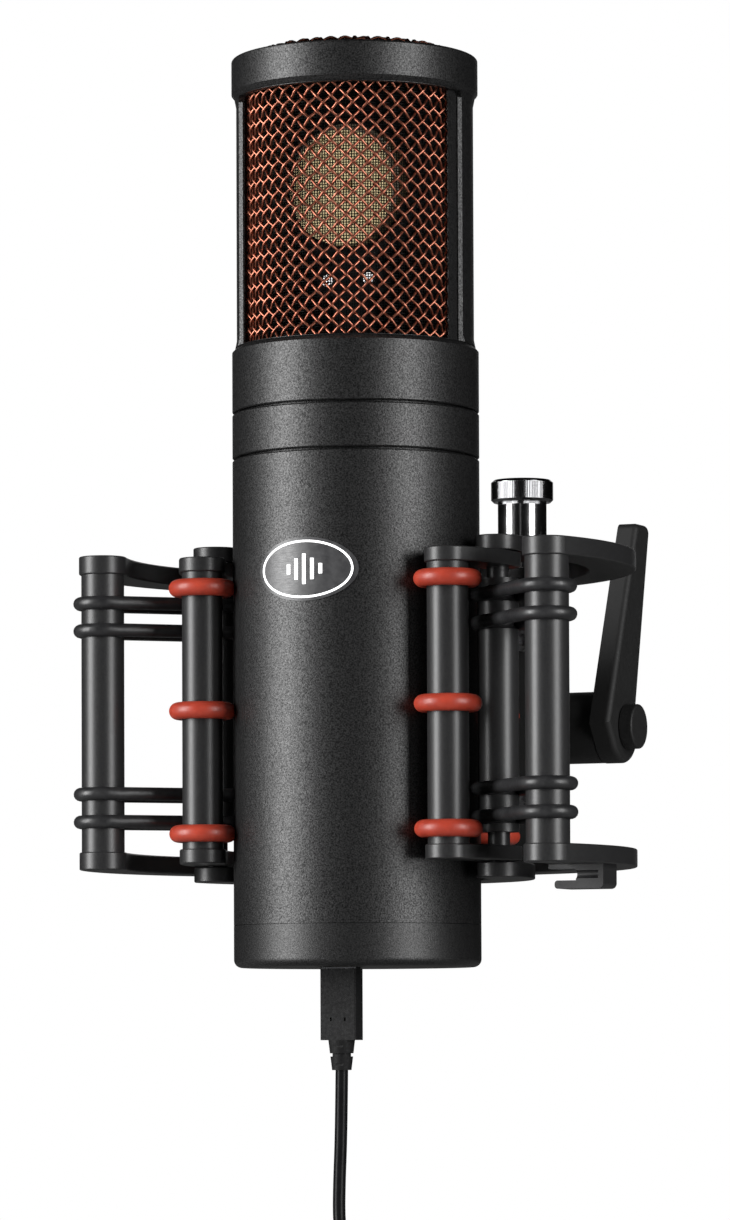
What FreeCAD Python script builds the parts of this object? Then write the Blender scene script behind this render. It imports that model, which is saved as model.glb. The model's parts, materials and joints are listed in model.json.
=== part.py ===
"""Large-diaphragm USB condenser microphone in an elastic shock mount, with its stand adapter.

Shapes are drawn in the microphone's own frame: origin on its axis at its underside, +Z up,
the badge facing -Y. Each is moved on export, so that the finished part has its origin at the
mouth of the stand adapter's threaded socket. All sizes are in millimetres.
"""

import math
import os

import FreeCAD
import Part

from FreeCAD import Vector

# ---- driving dimensions ----
MIC_R = 27.5                # microphone body
MIC_TOP = 205.05            # crown of the head's mesh
CAP_H = 9.4                 # bottom cap
TUBE_TOP = 112.75           # body tube, below the band ring
BAND_TOP = 123.0            # band ring, below the head
COLLAR_TOP = 138.0          # head collar, where the windows start
RING_FLOOR, RING_TOP = 193.5, 202.4
WALL = 1.7                  # tube walls
SEAM = 0.5                  # shadow gap between rings
FRAME_R, FRAME_WALL = 26.45, 1.15  # the head's ribs
STRIP_WALL, STRIP_ANGLE = 0.25, 8.2    # thin strip over the cloth's joint, this far into each window
WINDOW_HALF_ANGLE = 68.7
WINDOW_RIM = 0.7            # chamfer round each window
HEAD_TURN = 17.9            # the head screws home this far past the badge
MESH_R, MESH_WALL = 24.7, 0.8
FINE_MESH_R, FINE_MESH_WALL = 22.9, 0.3
CAPSULE_Z, CAPSULE_R, CAPSULE_HALF = 174.0, 13.5, 5.8
BADGE_Z, BADGE_W, BADGE_H = 86.6, 23.6, 14.0
PORT_Y = -8.8               # USB port, in front of the axis

POST_R = 4.55               # grip and inner posts
INNER_POST_AT = 34.4        # their distance from the microphone's axis
INNER_END_ANGLE = 89.0      # ends of the inner C plates, from the front
GRIP_ANGLE, REAR_GRIP_ANGLE = 59.5, 146.0
INNER_HALF_WIDTH = 5.1
INNER_TOP = (91.2, 94.7)
INNER_BOTTOM = (19.4, 22.8)
ARM_TOP = (87.7, 90.95)
ARM_BOTTOM = (23.05, 26.3)
PIN_R, PIN_FIT = 2.45, 0.05
INNER_POST_Z = (29.4, 85.2)

RIM = 0.35                  # rounding of the plates' rims
SCREW_HEAD_R, SCREW_SEAT = 2.6, 1.75    # flat heads in the top plates, and how deep they sit

OUTER_POST_AT, OUTER_POST_R = 56.9, 4.79
OUTER_END_ANGLE = 70.4
OUTER_HALF_WIDTH = 5.3
OUTER_TOP = (87.95, 92.05)
OUTER_BOTTOM = (21.95, 25.95)
OUTER_SCREWS = (-OUTER_END_ANGLE, OUTER_END_ANGLE, 168, 192)     # angles from the front
INNER_SCREWS = (-REAR_GRIP_ANGLE, REAR_GRIP_ANGLE)

GRIP_RING_R, GRIP_RING_SECTION = 5.55, 1.92     # red rings: centreline and section radius
GRIP_RING_Z = (29.7, 56.95, 84.2)
BAND_R, BAND_SECTION = 5.09, 1.5                # elastic loops round a post
BAND_PAIRS = {"lower": (32.7, 38.9), "upper": (75.4, 81.5)}

STAND_Y = 86.8              # stand axis behind the microphone's axis
SOCKET_MOUTH = 26.0         # socket's mouth above the microphone's underside
SOCKET_R, SOCKET_DEPTH, SOCKET_WALL_R = 7.94, 14.0, 11.2
PIVOT_Y, PIVOT_Z = 96.5, 57.9
BARREL_HALF = 21.05
TRUNNION_R, CHEEK_R, BOSS_R = 6.4, 8.6, 8.5     # the barrel, and the fork round it
EYE_HALF, FORK_IN, FORK_OUT = 5.9, 6.2, 11.2
BOLT_R = 3.0
LEVER_X = (21.35, 26.35)
LEVER_HUB_R = 8.6
LEVER_TOP_Y, LEVER_TOP_Z = 109.1, 107.0
BRACKET_HALF = 22.0
BRACKET_SCREW_X, BRACKET_SCREW_Z = 18.8, 17.85
COLUMN_R, COLUMN_TOP = 7.6, 96.0
COLUMN_FOOT = PIVOT_Z + 15.5    # clear of the fork's cheeks at full tilt
SCREW_R, SCREW_CAP_R, SCREW_CAP_Z, SCREW_TOP = 5.84, 7.44, 112.25, 117.6

CORD_R = 1.4
BOOT_TOP, BOOT_BOTTOM = -16.1, -22.7
NOTCH_TOP, NOTCH_BOTTOM = -19.0, -19.7      # between the strain relief's two tiers
COIL_R, COIL_HALF, COIL_Y, COIL_Z = 15.5, 5.6, -9.3, -84.0
TIE_WIDTH = 8.0
FAR_PLUG_X, FAR_BOOT_TOP = -0.2, -123.0
FAR_PLUG_Z = (-153.0, -132.0)
FAR_SHELL_BOTTOM = -165.0

SHIFT = Vector(0, -STAND_Y, -SOCKET_MOUTH)
UP, ALONG_X, ALONG_Y = Vector(0, 0, 1), Vector(1, 0, 0), Vector(0, 1, 0)
SIDES = {"left": -1, "right": 1}


# ---- helpers ----
def save(name, shape):
    """Move a shape into the part's frame and write it as one sub-part."""
    moved = shape.copy()
    moved.translate(SHIFT)
    moved.exportStep(f"parts/{name}.step")


def around(angle, radius, z=0.0):
    """A point at an angle from the front, positive towards +X, about the microphone's axis."""
    a = math.radians(angle)
    return Vector(radius * math.sin(a), -radius * math.cos(a), z)


def rod(r, z0, z1, at=Vector(0, 0, 0)):
    return Part.makeCylinder(r, z1 - z0, Vector(at.x, at.y, z0))


def tube(r_out, r_in, z0, z1, at=Vector(0, 0, 0)):
    return rod(r_out, z0, z1, at).cut(rod(r_in, z0 - 1, z1 + 1, at))


def cross_rod(r, x0, x1, y=PIVOT_Y, z=PIVOT_Z):
    return Part.makeCylinder(r, x1 - x0, Vector(x0, y, z), ALONG_X)


def block(x0, x1, y0, y1, z0, z1):
    return Part.makeBox(x1 - x0, y1 - y0, z1 - z0, Vector(x0, y0, z0))


def ring(r_centre, r_section, at):
    return Part.makeTorus(r_centre, r_section, at, UP)


def prism_x(points, x0, x1):
    """An outline of (y, z) corners, made solid from x0 to x1."""
    wire = Part.makePolygon([Vector(x0, y, z) for y, z in points + points[:1]])
    return Part.Face(wire).extrude(Vector(x1 - x0, 0, 0))


def lathe(points):
    """An outline of (radius, z) corners, turned round the Z axis."""
    wire = Part.makePolygon([Vector(r, 0, z) for r, z in points + points[:1]])
    return Part.Face(wire).revolve(Vector(0, 0, 0), UP, 360)


def flat_bar(r_mid, half_width, start, end, z0, z1):
    """A curved flat bar with round ends and softened rims, from one angle to another about the axis."""
    outer, inner = r_mid + half_width, r_mid - half_width
    middle = (start + end) / 2
    out_arc = Part.Arc(around(start, outer, z0), around(middle, outer, z0), around(end, outer, z0))
    in_arc = Part.Arc(around(end, inner, z0), around(middle, inner, z0), around(start, inner, z0))
    past = math.degrees(half_width / r_mid)
    end_cap = Part.Arc(around(end, outer, z0), around(end + past, r_mid, z0), around(end, inner, z0))
    start_cap = Part.Arc(
        around(start, inner, z0), around(start - past, r_mid, z0), around(start, outer, z0)
    )
    edges = [out_arc.toShape(), end_cap.toShape(), in_arc.toShape(), start_cap.toShape()]
    bar = Part.Face(Part.Wire(edges)).extrude(Vector(0, 0, z1 - z0))
    return round_edges(bar, RIM, lambda e: abs(e.BoundBox.ZLength) < 0.01)


def c_plate(r_mid, half_width, end_angle, z0, z1):
    """A flat C, open at the front, with round ends."""
    return flat_bar(r_mid, half_width, end_angle, 360 - end_angle, z0, z1)


def grooved(post, at, r_centre, r_section, heights):
    for z in heights:
        post = post.cut(ring(r_centre, r_section, Vector(at.x, at.y, z)))
    return post


def round_edges(shape, radius, wanted):
    """Round the edges for which wanted(edge) is true."""
    return shape.makeFillet(radius, [e for e in shape.Edges if wanted(e)])


def circles_at(z, r):
    """Picks the round edges at one height and radius."""
    def wanted(edge):
        c = edge.Curve
        return hasattr(c, "Radius") and abs(c.Radius - r) < 0.01 and abs(c.Center.z - z) < 0.01
    return wanted


# ---- microphone: casing ----
def bottom_cap():
    cup = round_edges(rod(MIC_R, 0, CAP_H - 0.1), 1.8, circles_at(0, MIC_R))
    cup = cup.cut(rod(MIC_R - WALL - 1.6, 3, CAP_H + 1))
    spigot = tube(MIC_R - WALL - 0.05, MIC_R - WALL - 1.6, 3, CAP_H + 5)
    port = block(-4.8, 4.8, PORT_Y - 1.9, PORT_Y + 1.9, -1, 4)
    return cup.fuse(spigot).cut(port).removeSplitter()


def body_tube():
    shell = tube(MIC_R, MIC_R - WALL, CAP_H, TUBE_TOP)
    return shell.makeChamfer(0.25, [e for e in shell.Edges if circles_at(TUBE_TOP, MIC_R)(e)])


def band_ring():
    z0, z1 = TUBE_TOP + SEAM, BAND_TOP
    inner = MIC_R - WALL - 1.6
    body = tube(MIC_R, inner, z0, z1)
    edges = [e for e in body.Edges if circles_at(z0, MIC_R)(e) or circles_at(z1, MIC_R)(e)]
    return body.makeChamfer(0.25, edges).fuse(
        tube(MIC_R - WALL - 0.05, inner, z0 - 5.5, z1 + 5.5)
    ).removeSplitter()


def window_cutter(turn, corner=1.2):
    """A wedge through one window of the head, its upper corners rounded and its rims chamfered."""
    half = math.radians(WINDOW_HALF_ANGLE)
    far, top = 2 * MIC_R, RING_FLOOR
    across, out = math.sin(half) * far, -math.cos(half) * far
    outline = [(0, 0), (across, out), (across, -far), (-across, -far), (-across, out), (0, 0)]
    face = Part.Face(Part.makePolygon([Vector(x, y, COLLAR_TOP) for x, y in outline]))
    wedge = face.extrude(Vector(0, 0, top - COLLAR_TOP))
    for side in SIDES.values():
        radial = Vector(side * across, out, 0).normalize()
        inward = Vector(-side * math.cos(half), -math.sin(half), 0)
        square = [Vector(0, 0, top), inward * corner + Vector(0, 0, top)]
        square += [p - Vector(0, 0, corner) for p in reversed(square)]
        start = radial * 15
        block_face = Part.Face(Part.makePolygon([start + p for p in square + square[:1]]))
        wedge = wedge.cut(block_face.extrude(radial * 20))
        centre = start + inward * corner + Vector(0, 0, top - corner)
        wedge = wedge.fuse(Part.makeCylinder(corner, 20, centre, radial))
        rim = [(-WINDOW_RIM, 0), (0.6, WINDOW_RIM + 0.6), (0.6, -0.1)]
        rim = [radial * (FRAME_R + away) - inward * beside for away, beside in rim]
        rim_face = Part.Face(Part.makePolygon([p + Vector(0, 0, COLLAR_TOP) for p in rim + rim[:1]]))
        wedge = wedge.fuse(rim_face.extrude(Vector(0, 0, top - corner - COLLAR_TOP)))
    wedge.rotate(Vector(0, 0, 0), UP, turn)
    return wedge


def head_frame():
    collar = lathe([
        (MIC_R - WALL, BAND_TOP + SEAM), (MIC_R - 0.25, BAND_TOP + SEAM), (MIC_R, BAND_TOP + SEAM + 0.25),
        (MIC_R, COLLAR_TOP - 1.1), (FRAME_R, COLLAR_TOP), (MIC_R - WALL, COLLAR_TOP),
    ])
    floor = tube(MIC_R - WALL + 0.2, 9.0, COLLAR_TOP - 8, COLLAR_TOP - 5.2)
    inside = FRAME_R - FRAME_WALL
    ribs = tube(FRAME_R, inside, COLLAR_TOP - 5, RING_FLOOR + 1)
    flares = [(COLLAR_TOP - 0.1, COLLAR_TOP + 1.6), (RING_FLOOR + 0.1, RING_FLOOR - 1.6)]
    ribs = ribs.fuse([lathe([
        (FRAME_R - 0.3, foot), (FRAME_R + 0.35, foot), (FRAME_R, tip), (FRAME_R - 0.3, tip),
    ]) for foot, tip in flares]).removeSplitter()
    strips = []
    for turn in (0, 180):
        ribs = ribs.cut(window_cutter(turn))
        start = math.radians(turn + WINDOW_HALF_ANGLE - STRIP_ANGLE)
        strips.append(joint_strip(inside, start, math.radians(STRIP_ANGLE + 3)))
    top = lathe([
        (MESH_R + 0.35, RING_FLOOR), (FRAME_R, RING_FLOOR), (MIC_R, RING_FLOOR + 1.3),
        (MIC_R, RING_TOP), (MESH_R + 0.35, RING_TOP),
    ])
    top = round_edges(top, 0.5, circles_at(RING_TOP, MIC_R))
    head = collar.fuse([floor, ribs, top] + strips).removeSplitter()
    head.rotate(Vector(0, 0, 0), UP, HEAD_TURN)
    return head


def joint_strip(inside, start, sweep):
    """A thin curved strip behind a rib's edge, where the wire cloth is joined."""
    strip = tube(inside + 0.1, inside - STRIP_WALL, COLLAR_TOP - 5, RING_FLOOR + 1)
    turns = [start + sweep * k / 2 for k in range(3)]
    corners = [Vector(0, 0, 0)] + [Vector(math.sin(a), -math.cos(a), 0) * (2 * MIC_R) for a in turns]
    wedge = Part.Face(Part.makePolygon(corners + corners[:1]))
    return strip.common(wedge.extrude(UP * (2 * MIC_TOP)))


def head_mesh():
    return tube(MESH_R, MESH_R - MESH_WALL, COLLAR_TOP - 5.1, RING_TOP - 3.2)


def mesh_top():
    """The crown: a shallow cup with a rounded shoulder."""
    z0, z1, shoulder = RING_TOP - 3.1, MIC_TOP - 0.4, 5.0
    def skin(r, top, fillet):
        return round_edges(rod(r, z0, top), fillet, circles_at(top, r))
    outer = skin(MESH_R, z1, shoulder)
    return outer.cut(skin(MESH_R - MESH_WALL, z1 - MESH_WALL, shoulder - MESH_WALL))


def fine_mesh():
    return tube(FINE_MESH_R, FINE_MESH_R - FINE_MESH_WALL, COLLAR_TOP - 5.1, RING_TOP - 3.2)


def badge():
    """A thin oval plate bent to the tube, at the front."""
    oval = Part.makeCylinder(1, 40, Vector(0, -40, 0), ALONG_Y)
    stretch = FreeCAD.Matrix()
    stretch.scale(Vector(BADGE_W / 2, 1, BADGE_H / 2))
    oval = oval.transformGeometry(stretch)
    oval.translate(Vector(0, 0, BADGE_Z))
    return tube(MIC_R + 0.25, MIC_R, BADGE_Z - BADGE_H, BADGE_Z + BADGE_H).common(oval)


# ---- microphone: inside ----
def capsule_half(side):
    """One gold half of the capsule, its membrane sunk a little inside its rim."""
    face, back = side * CAPSULE_HALF, side * 0.9
    half = Part.makeCylinder(
        CAPSULE_R, abs(face - back), Vector(0, back, CAPSULE_Z), Vector(0, side, 0)
    )
    recess = Part.makeCylinder(
        CAPSULE_R - 1.8, 0.8, Vector(0, face - side * 0.4, CAPSULE_Z), Vector(0, side, 0)
    )
    return half.cut(recess)


def capsule_spacer():
    return Part.makeCylinder(CAPSULE_R + 0.9, 1.8, Vector(0, -0.9, CAPSULE_Z), ALONG_Y)


def capsule_terminals():
    """The brass screw in the middle of each membrane."""
    pins = []
    for side in (-1, 1):
        at = Vector(0, side * (CAPSULE_HALF - 0.4), CAPSULE_Z)
        pins.append(Part.makeCylinder(1.1, 1.2, at, Vector(0, side, 0)))
    return Part.makeCompound(pins)


def capsule_saddle():
    """A stem with a half-round yoke that carries the capsule."""
    yoke_in = CAPSULE_R + 1.0
    yoke = Part.makeCylinder(yoke_in + 2.4, 6, Vector(0, -3, CAPSULE_Z), ALONG_Y)
    yoke = yoke.cut(Part.makeCylinder(yoke_in, 8, Vector(0, -4, CAPSULE_Z), ALONG_Y))
    yoke = yoke.cut(block(-30, 30, -10, 10, CAPSULE_Z - 4, CAPSULE_Z + 30))
    stem = block(-4, 4, -3, 3, COLLAR_TOP - 3.5, CAPSULE_Z - yoke_in - 1)
    plate = block(-8, 8, -3, 3, 149.5, 156.5)
    base = rod(8.8, COLLAR_TOP - 5.1, COLLAR_TOP - 3.4)
    return yoke.fuse([stem, plate, base]).removeSplitter()


def saddle_screws():
    heads = [
        Part.makeCylinder(1.3, 1.2, Vector(side * 5, -4.2, 153), ALONG_Y) for side in (-1, 1)
    ]
    return Part.makeCompound(heads)


def main_board():
    return block(-20, 20, PORT_Y + 1.9, PORT_Y + 3.5, 4, TUBE_TOP - 6)


def chassis_rails():
    y0 = PORT_Y - 1.5
    rails = [
        block(*sorted((side * 20.1, side * 22.0)), y0, y0 + 7, 3.05, TUBE_TOP - 2) for side in (-1, 1)
    ]
    return Part.makeCompound(rails)


def usb_socket():
    shell = block(-4.6, 4.6, PORT_Y - 1.75, PORT_Y + 1.75, 0.5, 8.1)
    return shell.cut(block(-4.28, 4.28, PORT_Y - 1.38, PORT_Y + 1.38, 0, 7.5))


# ---- shock mount: floating cradle and its grips ----
def inner_plate(z0, z1):
    plate = c_plate(INNER_POST_AT, INNER_HALF_WIDTH, INNER_END_ANGLE, z0, z1)
    for side in SIDES.values():
        plate = plate.cut(rod(PIN_R, z0 - 1, z1 + 1, around(side * INNER_END_ANGLE, INNER_POST_AT)))
    return plate


def inner_post(side):
    """A thick middle for the elastic loops, with a thin hinge pin at each end."""
    at = around(side * INNER_END_ANGLE, INNER_POST_AT)
    post = rod(POST_R, *INNER_POST_Z, at).fuse(rod(PIN_R, INNER_BOTTOM[0], INNER_TOP[1], at))
    heights = [z for pair in BAND_PAIRS.values() for z in pair]
    return grooved(post.removeSplitter(), at, BAND_R, BAND_SECTION + 0.06, heights)


def grip_post(angle, z0, z1):
    at = around(angle, INNER_POST_AT)
    return grooved(rod(POST_R, z0, z1, at), at, GRIP_RING_R, GRIP_RING_SECTION, GRIP_RING_Z)


def grip_rings(angle):
    """Three rubber rings, pressed flat where they bear on the microphone."""
    body = block(-MIC_R, MIC_R, -MIC_R - 0.05, MIC_R, 0, TUBE_TOP)
    body.rotate(Vector(0, 0, 0), UP, angle)
    return Part.makeCompound([
        ring(GRIP_RING_R, GRIP_RING_SECTION, around(angle, INNER_POST_AT, z)).cut(body) for z in GRIP_RING_Z
    ])


def grip_arm(side, z0, z1):
    """The flat link that swings on the inner post's pin and carries a grip post."""
    start, end = sorted((side * GRIP_ANGLE, side * INNER_END_ANGLE))
    arm = flat_bar(INNER_POST_AT, INNER_HALF_WIDTH, start, end, z0, z1)
    pin = around(side * INNER_END_ANGLE, INNER_POST_AT)
    return arm.cut(rod(PIN_R + PIN_FIT, z0 - 1, z1 + 1, pin))


# ---- shock mount: outer frame ----
def outer_plate(z0, z1):
    return c_plate(OUTER_POST_AT, OUTER_HALF_WIDTH, OUTER_END_ANGLE, z0, z1)


def outer_post(side):
    at = around(side * OUTER_END_ANGLE, OUTER_POST_AT)
    heights = [z for pair in BAND_PAIRS.values() for z in pair]
    return grooved(rod(OUTER_POST_R, OUTER_BOTTOM[1], OUTER_TOP[0], at), at, BAND_R, BAND_SECTION, heights)


def band_loop(side, z):
    """One elastic loop round an outer and an inner post."""
    a = around(side * OUTER_END_ANGLE, OUTER_POST_AT, z)
    b = around(side * INNER_END_ANGLE, INNER_POST_AT, z)
    along = (b - a).normalize()
    out = along.cross(UP) * BAND_R
    edges = [
        Part.Arc(a + out, a - along * BAND_R, a - out).toShape(),
        Part.makeLine(a - out, b - out),
        Part.Arc(b - out, b + along * BAND_R, b + out).toShape(),
        Part.makeLine(b + out, a + out),
    ]
    section = Part.Wire(Part.makeCircle(BAND_SECTION, a + out, along))
    return Part.Wire(edges).makePipeShell([section], True, True)


def elastic_bands(side, pair):
    return Part.makeCompound([band_loop(side, z) for z in BAND_PAIRS[pair]])


def rear_bracket():
    """The upright between the two outer plates, behind the microphone."""
    plate = block(-BRACKET_HALF, BRACKET_HALF, 53, 59, OUTER_BOTTOM[1], OUTER_TOP[0])
    plate = plate.cut(block(-8, 8, 50, 62, 68, 80)).cut(block(-8, 8, 50, 62, 36, 48))
    for side in (-1, 1):
        for z in (PIVOT_Z - BRACKET_SCREW_Z, PIVOT_Z + BRACKET_SCREW_Z):
            hole = Part.makeCylinder(1.6, 8, Vector(side * BRACKET_SCREW_X, 52, z), ALONG_Y)
            plate = plate.cut(hole)
    return plate


def bracket_screws():
    """Four screws through the upright into the fork, their heads towards the microphone."""
    screws = []
    for side in (-1, 1):
        for z in (PIVOT_Z - BRACKET_SCREW_Z, PIVOT_Z + BRACKET_SCREW_Z):
            head = Part.makeCylinder(2.7, 1.8, Vector(side * BRACKET_SCREW_X, 51.2, z), ALONG_Y)
            head = head.cut(hex_bar(2.9, Vector(side * BRACKET_SCREW_X, 50.2, z), ALONG_Y, 2.0))
            shank = Part.makeCylinder(1.55, 9, Vector(side * BRACKET_SCREW_X, 53, z), ALONG_Y)
            screws.append(head.fuse(shank))
    return Part.makeCompound(screws)


def tilt_fork():
    """A flange with two cheeks and bosses that carry the barrel either side of the adapter's eye."""
    flange = block(-BRACKET_HALF, BRACKET_HALF, 59, 63.6, PIVOT_Z - 22, PIVOT_Z + 22)
    for side in (-1, 1):
        for z in (PIVOT_Z - BRACKET_SCREW_Z, PIVOT_Z + BRACKET_SCREW_Z):
            flange = flange.cut(Part.makeCylinder(1.55, 3.05, Vector(side * BRACKET_SCREW_X, 59, z), ALONG_Y))
    cheeks = []
    outline = [(62, PIVOT_Z - 11), (72, PIVOT_Z - 6.5), (PIVOT_Y, PIVOT_Z - CHEEK_R)]
    outline += [(PIVOT_Y, PIVOT_Z + CHEEK_R), (72, PIVOT_Z + 6.5), (62, PIVOT_Z + 11)]
    for side in (-1, 1):
        x0, x1 = sorted((side * FORK_IN, side * FORK_OUT))
        boss = cross_rod(BOSS_R, *sorted((side * FORK_OUT, side * BARREL_HALF)))
        cheeks += [prism_x(outline, x0, x1), cross_rod(CHEEK_R, x0, x1), boss]
    return flange.fuse(cheeks).removeSplitter().cut(cross_rod(TRUNNION_R, -30, 30))


def pivot_barrel():
    """A bush through the fork and the adapter's eye, round the bolt."""
    return cross_rod(TRUNNION_R, -BARREL_HALF, BARREL_HALF).cut(cross_rod(BOLT_R, -30, 30))


def pivot_bolt():
    end = LEVER_X[1] + 3.5
    head = cross_rod(5.3, LEVER_X[1] + 0.3, end)
    head = head.makeFillet(0.5, [e for e in head.Edges if abs(e.CenterOfMass.x - end) < 0.01])
    return head.fuse(cross_rod(BOLT_R, -BARREL_HALF - 4.4, LEVER_X[1] + 1))


def pivot_nut():
    nut = hex_bar(12.4, Vector(-BARREL_HALF - 4.2, PIVOT_Y, PIVOT_Z), ALONG_X, 4.2)
    return nut.cut(cross_rod(BOLT_R, -30, -20))


def cable_clip():
    """A stout hook under the outer plate, open towards the microphone, with a groove along its side."""
    y0, y1, x1, z1 = -4.0, 4.0, 60.3, OUTER_BOTTOM[0]
    flange = block(47.5, x1, y0, y1, z1 - 1.0, z1)
    stem = block(53.9, x1, y0, y1, z1 - 5.3, z1)
    lip = block(48.9, x1, y0, y1, z1 - 5.3, z1 - 3.5)
    lip = round_edges(lip, 0.7, lambda e: abs(e.CenterOfMass.x - 48.9) < 0.01 and e.Length > 5)
    hook = flange.fuse([stem, lip]).removeSplitter()
    hook = round_edges(hook, 1.2, lambda e: abs(e.CenterOfMass.x - x1) < 0.01 and e.CenterOfMass.z < z1 - 5 and e.Length > 5)
    groove = Part.makeCylinder(0.9, 5.7, Vector(53.4, y0 - 0.1, z1 - 2.2), ALONG_X)
    return hook.cut(groove)


def hex_bar(across_corners, at, along, length):
    """A hexagonal bar, for sockets in screw heads and for nuts."""
    side = along.cross(ALONG_X) if abs(along.x) < 0.5 else along.cross(ALONG_Y)
    up = along.cross(side)
    corners = [
        at + side * (across_corners / 2 * math.cos(a)) + up * (across_corners / 2 * math.sin(a))
        for a in (math.radians(60 * i) for i in range(6))
    ]
    return Part.Face(Part.makePolygon(corners + corners[:1])).extrude(along * length)


def let_in(plate, z1, angles, r_mid):
    """Counterbores for flat screw heads in a plate's top face."""
    return plate.cut([rod(SCREW_HEAD_R + 0.05, z1 - SCREW_SEAT, z1 + 1, around(a, r_mid)) for a in angles])


def plate_screws(z1, angles, r_mid):
    """Flat heads with hex sockets, let into a plate's top face."""
    top = z1 - 0.15
    screws = []
    for a in angles:
        head = rod(SCREW_HEAD_R, z1 - SCREW_SEAT, top, around(a, r_mid))
        head = round_edges(head, 0.3, circles_at(top, SCREW_HEAD_R))
        screws.append(head.cut(hex_bar(2.9, around(a, r_mid, top - 0.7), UP, 1.0)))
    return Part.makeCompound(screws)


# ---- tilt lock, stand adapter ----
def clamp_lever():
    """A forged lever, broad at its hub, with soft outer edges."""
    hub = cross_rod(LEVER_HUB_R, *LEVER_X)
    arm = prism_x([
        (PIVOT_Y - 11.0, PIVOT_Z + 0.6), (LEVER_TOP_Y - 4.3, LEVER_TOP_Z), (LEVER_TOP_Y + 4.3, LEVER_TOP_Z),
        (PIVOT_Y + 6.9, PIVOT_Z + 4.0), (PIVOT_Y, PIVOT_Z - 5.0), (PIVOT_Y - 7.0, PIVOT_Z - 5.0),
    ], *LEVER_X)
    arm = round_edges(arm, 2.0, lambda e: abs(e.CenterOfMass.z - LEVER_TOP_Z) < 0.01 and e.Length < 5.5)
    lever = hub.fuse(arm).removeSplitter()
    lever = round_edges(lever, 1.3, lambda e: e.BoundBox.XMin > LEVER_X[1] - 0.01)
    return lever.cut(cross_rod(BOLT_R + 0.06, 0, 40))


def stand_adapter():
    stand, column = Vector(0, STAND_Y, 0), Vector(0, PIVOT_Y, 0)
    socket = rod(SOCKET_WALL_R, SOCKET_MOUTH, SOCKET_MOUTH + SOCKET_DEPTH + 2.5, stand)
    neck = prism_x([
        (STAND_Y - 8, SOCKET_MOUTH + 15), (STAND_Y + 10.5, SOCKET_MOUTH + 15),
        (PIVOT_Y + 8.2, PIVOT_Z - 3), (PIVOT_Y, PIVOT_Z), (PIVOT_Y - 8.2, PIVOT_Z - 3),
    ], -EYE_HALF, EYE_HALF)
    eye = cross_rod(9.0, -EYE_HALF, EYE_HALF)
    post = rod(COLUMN_R, COLUMN_FOOT, COLUMN_TOP, column)
    web = block(-EYE_HALF, EYE_HALF, PIVOT_Y - 4.5, PIVOT_Y + 4.5, PIVOT_Z, COLUMN_FOOT + 0.5)
    body = socket.fuse([neck, eye, post, web]).removeSplitter()
    body = body.cut(rod(SOCKET_R, SOCKET_MOUTH - 1, SOCKET_MOUTH + SOCKET_DEPTH, stand))
    body = body.cut(cross_rod(TRUNNION_R + 0.06, -20, 20))
    return body.cut(rod(4.05, PIVOT_Z, COLUMN_TOP + 1, column))


def lock_screw():
    column = Vector(0, PIVOT_Y, 0)
    shank = rod(4.0, PIVOT_Z + TRUNNION_R + 0.3, COLUMN_TOP + 0.5, column)
    shaft = rod(SCREW_R, COLUMN_TOP + 0.3, SCREW_CAP_Z + 0.5, column)
    cap = rod(SCREW_CAP_R, SCREW_CAP_Z, SCREW_TOP, column)
    rims = [e for e in cap.Edges if circles_at(SCREW_TOP, SCREW_CAP_R)(e) or circles_at(SCREW_CAP_Z, SCREW_CAP_R)(e)]
    return shank.fuse([shaft, cap.makeChamfer(0.6, rims)]).removeSplitter()


# ---- USB lead ----
def plug_shell():
    shell = block(-4.1, 4.1, PORT_Y - 1.2, PORT_Y + 1.2, -0.4, 6.2)
    return shell.cut(block(-3.8, 3.8, PORT_Y - 0.9, PORT_Y + 0.9, 1.0, 7))


def plug_body():
    """The moulded plug, with two tiny pockets in its face and a strain relief in two tiers."""
    front = PORT_Y - 2.05
    body = block(-4.3, 4.3, front, PORT_Y + 2.05, BOOT_TOP, -0.4)
    body = round_edges(body, 0.3, lambda e: e.Length > 15)
    for x in (-1.7, 1.7):
        body = body.cut(block(x - 0.2, x + 0.2, front - 0.1, front + 0.35, -11.9, -11.1))
    boot = Part.makeCone(2.15, 2.95, BOOT_TOP - BOOT_BOTTOM, Vector(0, PORT_Y, BOOT_BOTTOM))
    axis = Vector(0, PORT_Y, 0)
    boot = boot.cut(tube(4.0, 2.05, NOTCH_BOTTOM, NOTCH_TOP, axis))
    for z, r in ((BOOT_TOP - 1.3, 2.8), (BOOT_BOTTOM + 1.2, 2.3)):
        for side in (-1, 1):
            slot = block(-1.7, 1.7, -0.6, 0.6, z - 0.28, z + 0.28)
            slot.translate(axis + Vector(0, side * (r + 0.2), 0))
            boot = boot.cut(slot)
    return body.fuse(boot)


def cord_tube(points):
    """A round cord along straight runs, joined by an arc at each corner."""
    edges, last = [], points[0]
    for before, corner, after in zip(points, points[1:], points[2:]):
        back, ahead = (before - corner), (after - corner)
        shorter = min(back.Length, ahead.Length)
        turn = math.pi - back.getAngle(ahead)
        cut = 0.45 * shorter
        start = corner + back.normalize() * cut
        end = corner + ahead.normalize() * cut
        towards_centre = (back + ahead).normalize()
        radius = cut / math.tan(turn / 2)
        print(f"cord bend: radius {radius:.1f} mm, {radius / (2 * CORD_R):.1f} diameters")
        middle = corner + towards_centre * (radius / math.cos(turn / 2) - radius)
        edges += [Part.makeLine(last, start), Part.Arc(start, middle, end).toShape()]
        last = end
    edges.append(Part.makeLine(last, points[-1]))
    direction = (points[1] - points[0]).normalize()
    section = Part.Wire(Part.makeCircle(CORD_R, points[0], direction))
    return Part.Wire(edges).makePipeShell([section], True, False)


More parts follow.
